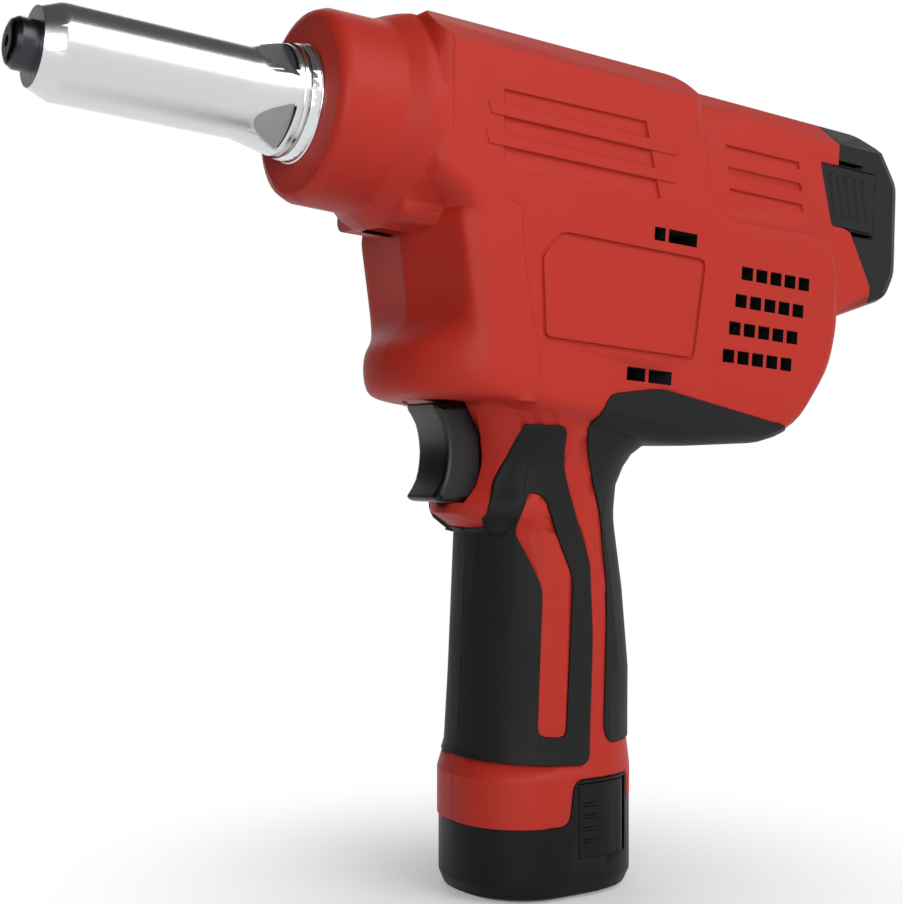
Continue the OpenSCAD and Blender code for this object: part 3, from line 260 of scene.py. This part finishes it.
def to_barrel(shape, back=False):
    """Turns a shape into the barrel's own frame, or back out of it."""
    up = Vector((0, 0, BARREL_HEIGHT * MM))
    if not back:
        bmesh.ops.translate(shape, verts=shape.verts, vec=-up)
    turn = Matrix.Rotation(BARREL_TILT if back else -BARREL_TILT, 3, "Y")
    bmesh.ops.rotate(shape, verts=shape.verts, cent=(0, 0, 0), matrix=turn)
    if back:
        bmesh.ops.translate(shape, verts=shape.verts, vec=up)


def clear_front(shape):
    """Takes the plain front off a copied shell, where the moulded front stands over it."""
    to_barrel(shape)
    for place, facing in (((FRONT_REAR * MM, 0, 0), (1, 0, 0)), ((0, 0, FRONT_TOP * MM), (0, 0, 1)),
                          ((0, 0, FRONT_BOTTOM * MM), (0, 0, 1))):
        bmesh.ops.bisect_plane(shape, geom=[*shape.verts, *shape.edges, *shape.faces], dist=CUT,
                               plane_co=place, plane_no=facing)
    covered = []
    for face in shape.faces:
        middle = face.calc_center_median() / MM
        if middle.x < FRONT_REAR and FRONT_BOTTOM < middle.z < FRONT_TOP:
            covered.append(face)
    bmesh.ops.delete(shape, geom=covered, context="FACES")
    to_barrel(shape, back=True)


def within(point, box):
    """Whether a point of the barrel's frame lies in a box."""
    along, half_width, heights = box
    return along[0] < point.x < along[1] and abs(point.y) < half_width and heights[0] < point.z < heights[1]


def behind_vents(face):
    """Whether a face of the shell lies inside it, or in a slot, where only the vents let the eye in. These faces
    are painted black as shade.
    """
    middle = face.calc_center_median() / MM - Vector((0, 0, BARREL_HEIGHT))
    middle.rotate(Matrix.Rotation(-BARREL_TILT, 3, "Y"))
    faces_sideways = abs(face.normal.y) >= 0.5
    return within(middle, CAVITY) or not faces_sideways and within(middle, GRILLE)


def dressed(node, name, body, material, sharp_degrees, other=None, is_other=None, change=None):
    """A piece with the CAD node's shape, its flat areas merged and its curves smooth, which stands
    for that node. Edges sharper than the angle stay sharp. Faces that the test picks out take the
    other material, and a change is made to the copied shape first."""
    shape = copied(node)
    if change:
        change(shape)
    bmesh.ops.dissolve_limit(shape, angle_limit=FLAT, verts=shape.verts, edges=shape.edges)
    shape.normal_update()
    for face in shape.faces:
        face.smooth = True
        face.material_index = 1 if other and is_other(face) else 0
    piece = placed(shape, name, *([material, other] if other else [material]))
    piece.data.set_sharp_from_angle(angle=math.radians(sharp_degrees))
    weighting = piece.modifiers.new("Even normals", "WEIGHTED_NORMAL")
    weighting.keep_sharp = True
    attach(piece, body)
    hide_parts(node)


def coat(node, material):
    """Gives a CAD node that keeps its own shape a finish."""
    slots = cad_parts[node].data.materials
    slots.clear()
    slots.append(material)


def front_half(name, side, material):
    """One half of the moulded front: a grid set on its level cuts, smoothed, with a wall behind it."""
    columns, rows = len(FRONT_CUTS[0][1]) - 1, len(FRONT_CUTS) - 1
    shape = bmesh.new()
    bmesh.ops.create_grid(shape, x_segments=columns, y_segments=rows, size=1)
    for vertex in shape.verts:
        height, places = FRONT_CUTS[round((1 - vertex.co.y) / 2 * rows)]
        along, across = places[round((vertex.co.x + 1) / 2 * columns)]
        vertex.co = (along * MM, side * max(across, PARTING) * MM, height * MM)
    to_barrel(shape, back=True)
    shape.normal_update()
    if sum((face.normal.y * side - face.normal.x) * face.calc_area() for face in shape.faces) < 0:
        bmesh.ops.reverse_faces(shape, faces=shape.faces)
    for face in shape.faces:
        face.smooth = True
    for edge in shape.edges:
        edge.smooth = not edge.is_boundary
    piece = placed(shape, name, material)
    rounding = piece.modifiers.new("Soft curves", "SUBSURF")
    rounding.levels = rounding.render_levels = 3
    walled(piece, FRONT_WALL, -1)
    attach(piece, "tool")


def parting_tongue(material):
    """The tongue that closes the joint of the two halves, so that no light comes through: the left
    half's mating face, set on the middle plane as a thin wall."""
    shape = copied("left_housing")
    reach = 1.5 * JOINT_GAP * MM
    spare = [face for face in shape.faces if any(abs(vertex.co.y) > reach for vertex in face.verts)]
    bmesh.ops.delete(shape, geom=spare, context="FACES")
    clear_front(shape)
    for vertex in shape.verts:
        vertex.co.y = 0
    piece = placed(shape, "parting_tongue", material)
    walled(piece, 1.8 * JOINT_GAP, 0)
    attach(piece, "tool")


class RIVETTOOL_OT_shell(bpy.types.Operator):
    """Dress the two housing halves, their moulded front, the tongue between them and their screws."""

    bl_idname = "rivettool.shell"
    bl_label = "Housing"

    def execute(self, context):
        finish, sizes = context.scene.rivet_finish, context.scene.rivet_sizes
        # Moulded ABS with a fine eroded grain: satin, with soft broad highlights
        shell = moulded("moulded_red_abs", finish.shell, 0.5, sizes.shell_grain, 0.012 * MM, sizes.shell_edge,
                        ior=1.32)
        # Painted shade: the unlit inner wall is black behind the vents and in the slots, whatever light falls in
        painted_shade = moulded("painted_shade_black", linear("#0B0A0A"), 0.75, sizes.shell_grain, 0.01 * MM,
                         sizes.plastic_edge, ior=1.3)
        for side in ("left", "right"):
            dressed(f"{side}_housing", f"{side}_shell", "tool", shell, 36, painted_shade, behind_vents,
                    clear_front)
            front_half(f"{side}_front_moulding", -1 if side == "left" else 1, shell)
        # The tongue in the joint takes the same black, painted shade where no light reaches
        parting_tongue(painted_shade)
        # Blackened screw steel: dark, with a dull sheen
        screws = metal("blackened_screw_steel", linear("#2A2A2C"), 0.38, 0.3 * MM, 0.004 * MM, sizes.metal_edge)
        coat("housing_screws", screws)
        return {"FINISHED"}


def between(rows, height):
    """The values of a table's rows at a height, where the rows run downwards."""
    for above, below in zip(rows, rows[1:]):
        if height >= below[0]:
            share = (above[0] - height) / (above[0] - below[0])
            return [a + (b - a) * share for a, b in zip(above[1:], below[1:])]
    return list(rows[-1][1:])


def grip_flap(side_name, side, material):
    """The front grip's thin edge beside the trigger: a smooth sheet laid over the shell and the grip.
    Each point is found from outside the tool, and further back where there is nothing under it."""
    under = bmesh.new()
    for node in (f"{side_name}_housing", f"{side_name}_front_grip"):
        under.from_mesh(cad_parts[node].data)
    skin = BVHTree.FromBMesh(under)
    under.free()
    columns, rows = 10, 32
    outside, step, reach = 50, 0.5, 5
    top, bottom = FLAP_ROWS[0][0], FLAP_ROWS[-1][0]
    shape, skin_y = bmesh.new(), []
    bmesh.ops.create_grid(shape, x_segments=columns, y_segments=rows, size=1)
    for vertex in shape.verts:
        height = bottom + (top - bottom) * (vertex.co.y + 1) / 2
        front, rear = between(FLAP_ROWS, height)
        along = front + (rear - front) * (vertex.co.x + 1) / 2
        hit = None
        while hit is None and along < rear + reach:
            origin = Vector((along * MM, side * outside * MM, height * MM))
            hit = skin.ray_cast(origin, Vector((0, -side, 0)))[0]
            along += step
        if hit is None:
            raise RuntimeError(f"no shell under the {side_name} grip's edge at {height:.1f} mm")
        vertex.co = (hit.x, hit.y, height * MM)
        skin_y.append(hit.y * side)
    for _ in range(FLAP_ROUNDS):
        bmesh.ops.smooth_vert(shape, verts=shape.verts, factor=0.5, use_axis_x=False, use_axis_y=True,
                              use_axis_z=False)
        for vertex, least in zip(shape.verts, skin_y):
            vertex.co.y = side * max(vertex.co.y * side, least + FLAP_LIFT * MM)
    shape.normal_update()
    if sum(face.normal.y * side for face in shape.faces) < 0:
        bmesh.ops.reverse_faces(shape, faces=shape.faces)
    for face in shape.faces:
        face.smooth = True
    piece = placed(shape, f"{side_name}_grip_flap", material)
    walled(piece, FLAP_WALL, -1)
    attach(piece, "tool")


class RIVETTOOL_OT_grips(bpy.types.Operator):
    """Dress the four soft panels of the handle, and lay their edges beside the trigger."""

    bl_idname = "rivettool.grips"
    bl_label = "Soft grips"

    def execute(self, context):
        finish, sizes = context.scene.rivet_finish, context.scene.rivet_sizes
        # Overmoulded elastomer: matt and slightly pebbled, with a wide dim sheen
        soft = moulded("overmoulded_black_elastomer", finish.soft_grip, 0.6, sizes.grip_grain, 0.03 * MM,
                       sizes.plastic_edge, ior=1.3)
        for side in ("left", "right"):
            for end in ("front", "rear"):
                dressed(f"{side}_{end}_grip", f"{side}_{end}_soft_grip", "tool", soft, 33)
            grip_flap(side, -1 if side == "left" else 1, soft)
        return {"FINISHED"}


def spanner_flat(face):
    """Whether a face of the sleeve is one of its four milled flats, which lie at 45 degrees round the
    barrel and are larger than any facet of its curves."""
    axis = Vector((math.cos(BARREL_TILT), 0, -math.sin(BARREL_TILT)))
    square_to_axis = abs(face.normal.dot(axis)) < 0.01
    at_45_degrees = abs(abs(face.normal.y) - 0.7071) < 0.003
    return square_to_axis and at_45_degrees and face.calc_area() > 20 * MM * MM


class RIVETTOOL_OT_barrel(bpy.types.Operator):
    """Dress the barrel sleeve, its lock ring and the nosepiece."""

    bl_idname = "rivettool.barrel"
    bl_label = "Barrel"

    def execute(self, context):
        finish, sizes = context.scene.rivet_finish, context.scene.rivet_sizes
        # Zinc plating over turned steel: bright, with a frosted edge to each reflection
        plating = metal("zinc_plated_turned_steel", finish.plating, 0.22, sizes.turning_marks, 0.005 * MM,
                        sizes.metal_edge, along_barrel=True, shade=0.03)
        # Polished plating: mirrors the drum behind it
        polish = metal("polished_plated_steel", finish.ring, 0.14, sizes.turning_marks, 0.0002 * MM, 0,
                       along_barrel=True, shade=0.02)
        # The spanner flats keep the cutter's marks: the same plating, but dull and grey
        milled = metal("zinc_plated_milled_steel", linear("#A9AAAC"), 0.42, 0.5 * MM, 0.02 * MM, 0, shade=0.04)
        # Black oxide on steel: dark, with a low metal glint
        oxide = metal("black_oxide_steel", finish.nose, 0.34, 0.25 * MM, 0.003 * MM, sizes.metal_edge)
        dressed("barrel_sleeve", "plated_sleeve", "tool", plating, 25, milled, spanner_flat)
        dressed("lock_ring", "polished_ring", "tool", polish, 25)
        dressed("nosepiece", "dark_nosepiece", "tool", oxide, 25)
        return {"FINISHED"}


class RIVETTOOL_OT_trigger(bpy.types.Operator):
    """Dress the trigger."""

    bl_idname = "rivettool.trigger"
    bl_label = "Trigger"

    def execute(self, context):
        finish, sizes = context.scene.rivet_finish, context.scene.rivet_sizes
        # Nylon worn smooth by fingers: darker and glossier than the grips
        nylon = moulded("trigger_nylon", finish.dark_plastic, 0.36, sizes.plastic_grain, 0.008 * MM,
                        sizes.plastic_edge, ior=1.45)
        dressed("trigger", "finger_trigger", "trigger", nylon, 40)
        return {"FINISHED"}


class RIVETTOOL_OT_battery(bpy.types.Operator):
    """Dress the battery's base, stem, latches, cells and contacts."""

    bl_idname = "rivettool.battery"
    bl_label = "Battery"

    def execute(self, context):
        finish, sizes = context.scene.rivet_finish, context.scene.rivet_sizes
        # Glass-filled nylon: near black, satin, with a fine grain
        nylon = moulded("battery_nylon", finish.dark_plastic, 0.46, sizes.plastic_grain, 0.012 * MM,
                        sizes.plastic_edge, ior=1.26)
        dressed("battery_base", "battery_foot", "battery", nylon, 33)
        dressed("battery_stem", "battery_post", "battery", nylon, 33)
        for side in ("left", "right"):
            dressed(f"battery_latch_{side}", f"battery_catch_{side}", f"battery_latch_{side}", nylon,
                    33)
        # Heat-shrunk film over each cell: blue and glossy
        film = moulded("cell_shrink_film", linear("#2B5FA8"), 0.3, 2 * MM, 0.01 * MM, sizes.metal_edge)
        coat("battery_cells", film)
        # Plated brass contacts: warm and bright
        brass = metal("plated_contact_brass", linear("#C9A55C"), 0.25, 0.3 * MM, 0.002 * MM, sizes.metal_edge)
        coat("battery_contacts", brass)
        return {"FINISHED"}


class RIVETTOOL_OT_collector(bpy.types.Operator):
    """Dress the mandrel bin and its two side tabs."""

    bl_idname = "rivettool.collector"
    bl_label = "Mandrel bin"

    def execute(self, context):
        finish, sizes = context.scene.rivet_finish, context.scene.rivet_sizes
        # Bin nylon: a warmer black than the battery's, satin
        nylon = moulded("bin_nylon", finish.bin_plastic, 0.42, sizes.plastic_grain, 0.012 * MM,
                        sizes.plastic_edge, ior=1.3)
        dressed("mandrel_collector", "mandrel_bin", "collector", nylon, 33)
        for side in ("left", "right"):
            dressed(f"collector_latch_{side}", f"bin_tab_{side}", f"collector_latch_{side}", nylon,
                    33)
        return {"FINISHED"}


class RIVETTOOL_OT_works(bpy.types.Operator):
    """Give the pieces inside the housing their finishes."""

    bl_idname = "rivettool.works"
    bl_label = "Inner works"

    def execute(self, context):
        edge = context.scene.rivet_sizes.metal_edge
        # Die-cast aluminium: pale grey, dull and a little rough
        cast = metal("die_cast_aluminium", linear("#B9BBBD"), 0.42, 0.8 * MM, 0.02 * MM, edge)
        # Ground steel: bright, with sharp small highlights
        ground = metal("ground_steel", linear("#BDBFC2"), 0.22, 0.3 * MM, 0.003 * MM, edge)
        # Hardened gear steel: mid grey, with an oily sheen
        hardened = metal("hardened_gear_steel", linear("#77787B"), 0.3, 0.3 * MM, 0.004 * MM, edge)
        # Ground ferrite: charcoal, nearly matt
        ferrite = metal("ground_ferrite", linear("#3A3A3C"), 0.5, 0.4 * MM, 0.006 * MM, edge)
        # Lacquered copper wire over the armature: warm and glossy
        copper = metal("lacquered_copper", linear("#B8683A"), 0.3, 0.6 * MM, 0.02 * MM, edge)
        # Solder mask: deep green, glossy
        board = moulded("green_solder_mask", linear("#1E5B38"), 0.3, 0.8 * MM, 0.004 * MM, edge)
        # Black nylon of the inner mouldings: plain satin
        nylon = moulded("black_inner_nylon", linear("#252626"), 0.5, 0.5 * MM, 0.01 * MM, edge)
        groups = (
            (cast, ("gear_case", "gear_cover")),
            (ground, ("thrust_bearing", "rear_bearing", "mandrel_tube", "motor_can", "ball_nut", "ball_screw",
                      "jaw_case", "jaw_pusher", "pusher_spring", "motor_shaft", "planet_carrier")),
            (hardened, ("ring_gear", "nut_gear", "sun_gear", "drive_pinion", "planet_gear_1", "planet_gear_2",
                        "planet_gear_3", "screw_guide", "guide_key", "jaws")),
            (ferrite, ("motor_magnets",)),
            (copper, ("armature",)),
            (board, ("control_board",)),
            (nylon, ("motor_end_cap", "switch_body", "terminal_block", "cooling_fan")),
        )
        for material, nodes in groups:
            for node in nodes:
                coat(node, material)
        return {"FINISHED"}


def lamp(name, place, target, size, power):
    """A square soft lamp that faces a point."""
    light = bpy.data.lights.new(name, "AREA")
    light.shape, light.size, light.energy = "SQUARE", size, power
    lamp_object = bpy.data.objects.new(name, light)
    lamp_object.location = place
    lamp_object.rotation_euler = (Vector(target) - Vector(place)).to_track_quat("-Z", "Y").to_euler()
    bpy.context.scene.collection.objects.link(lamp_object)


def sheet(name, half, place, turn, material):
    """A square flat sheet of the studio, turned about the y axis and set at a place."""
    shape = bmesh.new()
    bmesh.ops.create_grid(shape, x_segments=1, y_segments=1, size=half)
    bmesh.ops.rotate(shape, verts=shape.verts, cent=(0, 0, 0), matrix=Matrix.Rotation(turn, 3, "Y"))
    bmesh.ops.translate(shape, verts=shape.verts, vec=place)
    card = placed(shape, name, material)
    return card


def seen_white(tree, surface, white, share=None):
    """A shader that looks white to the camera, in mirrors and through glass, and is the given one
    otherwise. Where a share is given, it is only that far on the way to white."""
    path = add(tree, "ShaderNodeLightPath").outputs
    seen = add(tree, "ShaderNodeMath", {0: path["Is Camera Ray"], 1: path["Is Transmission Ray"]},
               operation="MAXIMUM")
    seen = add(tree, "ShaderNodeMath", {0: seen.outputs["Value"], 1: path["Is Glossy Ray"]}, operation="MAXIMUM")
    if share:
        seen = add(tree, "ShaderNodeMath", {0: seen.outputs["Value"], 1: share}, operation="MULTIPLY")
    return add(tree, "ShaderNodeMixShader", {"Fac": seen.outputs["Value"], 1: surface, 2: white}).outputs["Shader"]


class RIVETTOOL_OT_stage(bpy.types.Operator):
    """Set the floor, the studio light and the camera."""

    bl_idname = "rivettool.stage"
    bl_label = "Studio"

    def execute(self, context):
        scene = context.scene
        scene.view_settings.view_transform = "Standard"
        # Matt white paper: it takes the tool's shadow, and fades to plain white away from it
        material, tree, output, place = opened("paper_sweep")
        paper = add(tree, "ShaderNodeBsdfDiffuse", {"Color": (*scene.rivet_finish.floor, 1)}).outputs["BSDF"]
        plain = add(tree, "ShaderNodeEmission", {"Color": (1, 1, 1, 1), "Strength": 1.0}).outputs["Emission"]
        reach = add(tree, "ShaderNodeVectorMath", {0: place}, operation="LENGTH").outputs["Value"]
        share = add(tree, "ShaderNodeMapRange", {"Value": reach, "From Min": -0.05, "From Max": 0.16},
                    interpolation_type="SMOOTHSTEP").outputs["Result"]
        tree.links.new(seen_white(tree, paper, plain, share), output.inputs["Surface"])
        sheet("paper_floor", 3, (0, 0, 0), 0, material)

        # A dark felt flag to the left of the set keeps the surfaces that face the nose from washing out
        felt, tree, output, _ = opened("black_felt")
        nap = add(tree, "ShaderNodeBsdfDiffuse", {"Color": (0.02, 0.02, 0.02, 1)}).outputs["BSDF"]
        tree.links.new(nap, output.inputs["Surface"])
        flag = sheet("felt_flag", 1.7, (-0.75, 1.15, 0.9), math.radians(90), felt)
        flag.visible_camera = False

        world = bpy.data.worlds.new("Studio")
        scene.world = world
        world.use_nodes = True
        tree = world.node_tree
        tree.nodes.clear()
        ambient = add(tree, "ShaderNodeBackground", {"Color": (1, 1, 1, 1), "Strength": 0.22}).outputs["Background"]
        # The backdrop is white, and the studio above it is dim, which bright metal shows as a darker band
        heading = add(tree, "ShaderNodeTexCoord").outputs["Generated"]
        rise = add(tree, "ShaderNodeSeparateXYZ", {"Vector": heading}).outputs["Z"]
        level = add(tree, "ShaderNodeMapRange", {"Value": rise, "From Min": 0.3, "From Max": 0.8, "To Min": 1.0,
                                                 "To Max": 0.1}).outputs["Result"]
        white = add(tree, "ShaderNodeBackground", {"Color": (1, 1, 1, 1), "Strength": level}).outputs["Background"]
        result = add(tree, "ShaderNodeOutputWorld")
        tree.links.new(seen_white(tree, ambient, white), result.inputs["Surface"])

        for name, place, size, power in LAMPS:
            lamp(name, place, TOOL_MIDDLE, size, power)

        camera = bpy.data.cameras.new("Photograph")
        camera.lens = SENSOR * FOCAL / IMAGE_HEIGHT
        camera.sensor_width = SENSOR
        view = bpy.data.objects.new("Photograph", camera)
        view.location = CAMERA_PLACE
        view.rotation_euler = [math.radians(degrees) for degrees in CAMERA_TURN]
        scene.collection.objects.link(view)
        scene.camera = view
        return {"FINISHED"}


OPERATORS = (RIVETTOOL_OT_shell, RIVETTOOL_OT_grips, RIVETTOOL_OT_barrel, RIVETTOOL_OT_trigger,
             RIVETTOOL_OT_battery, RIVETTOOL_OT_collector, RIVETTOOL_OT_works, RIVETTOOL_OT_stage)


class RIVETTOOL_PT_panel(bpy.types.Panel):
    """Lists the tool's finishes, sizes and steps."""

    bl_label = "Rivet tool"
    bl_idname = "RIVETTOOL_PT_panel"
    bl_space_type = "VIEW_3D"
    bl_region_type = "UI"
    bl_category = "Rivet tool"

    def draw(self, context):
        for group in (context.scene.rivet_finish, context.scene.rivet_sizes):
            for name in group.__annotations__:
                self.layout.prop(group, name)
        for operator in OPERATORS:
            self.layout.operator(operator.bl_idname)


CLASSES = (RivetToolFinish, RivetToolSizes, *OPERATORS, RIVETTOOL_PT_panel)


def register():
    for item in CLASSES:
        bpy.utils.register_class(item)
    bpy.types.Scene.rivet_finish = bpy.props.PointerProperty(type=RivetToolFinish)
    bpy.types.Scene.rivet_sizes = bpy.props.PointerProperty(type=RivetToolSizes)


def unregister():
    del bpy.types.Scene.rivet_sizes
    del bpy.types.Scene.rivet_finish
    for item in reversed(CLASSES):
        bpy.utils.unregister_class(item)


def main():
    register()
    for operator in OPERATORS:
        group, name = operator.bl_idname.split(".")
        getattr(getattr(bpy.ops, group), name)()


if __name__ == "__main__":
    main()
